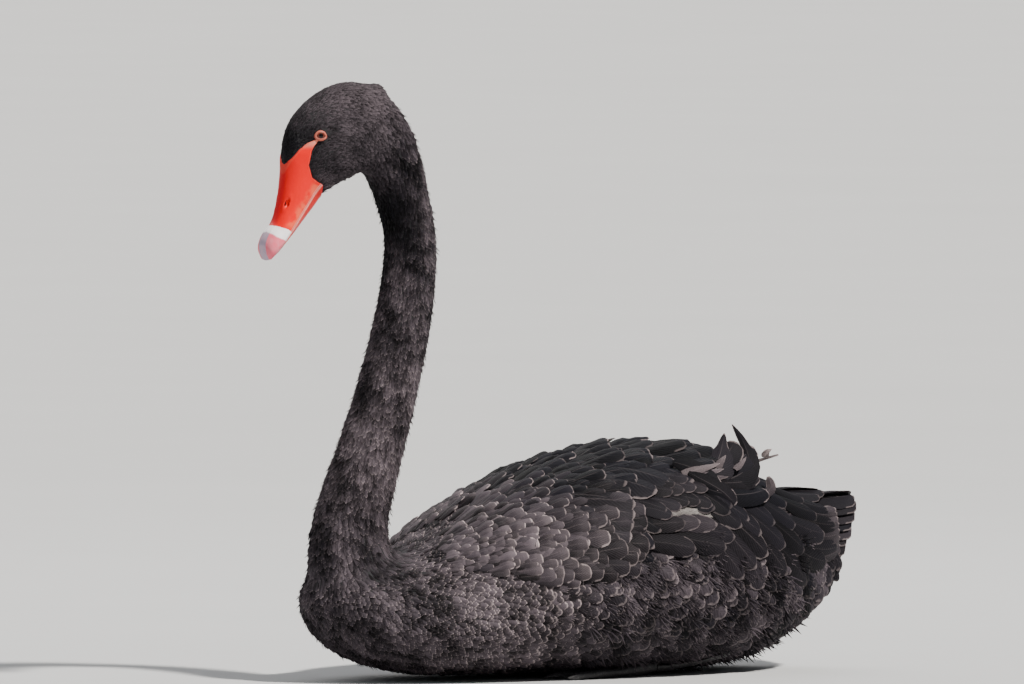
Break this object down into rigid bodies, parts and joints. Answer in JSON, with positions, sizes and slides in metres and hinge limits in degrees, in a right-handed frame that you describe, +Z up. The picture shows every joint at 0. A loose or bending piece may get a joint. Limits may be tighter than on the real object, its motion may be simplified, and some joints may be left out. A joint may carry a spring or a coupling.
{
  "type": "black swan",
  "caption": "Life-size still model of a black swan resting on its belly, neck upright in a slight S, head turned down along the breast, wings folded and curled feathers raised at their rear.",
  "frame": {"origin": "on the flat under the belly, in the plane of symmetry, a little forward of the legs", "axes": "+Z up, the bird faces -Y, its left side is +X"},
  "size_m": [0.2664, 0.6071, 0.5135],
  "materials": {
    "plumage": "matt black-brown feathers",
    "bill_red": "waxy horn",
    "nail_pale": "waxy horn",
    "eye": "wet gloss",
    "flight_white": "matt white feathers",
    "leg_skin": "scaly skin"
  },
  "bodies": {
    "root": {"head": "plumage", "bill_upper": "bill_red", "bill_nail": "nail_pale", "bill_lower": "bill_red", "neck_upper": "plumage", "neck_middle": "plumage", "neck_lower": "plumage", "torso": "plumage", "tail": "plumage", "eye_left": "eye", "eye_right": "eye", "wing_left": "plumage", "wing_right": "plumage", "tertials_left": "plumage", "tertials_right": "plumage", "flight_left": "flight_white", "flight_right": "flight_white", "leg_left": "leg_skin", "leg_right": "leg_skin", "foot_left": "leg_skin", "foot_right": "leg_skin"}
  },
  "joints": []
}
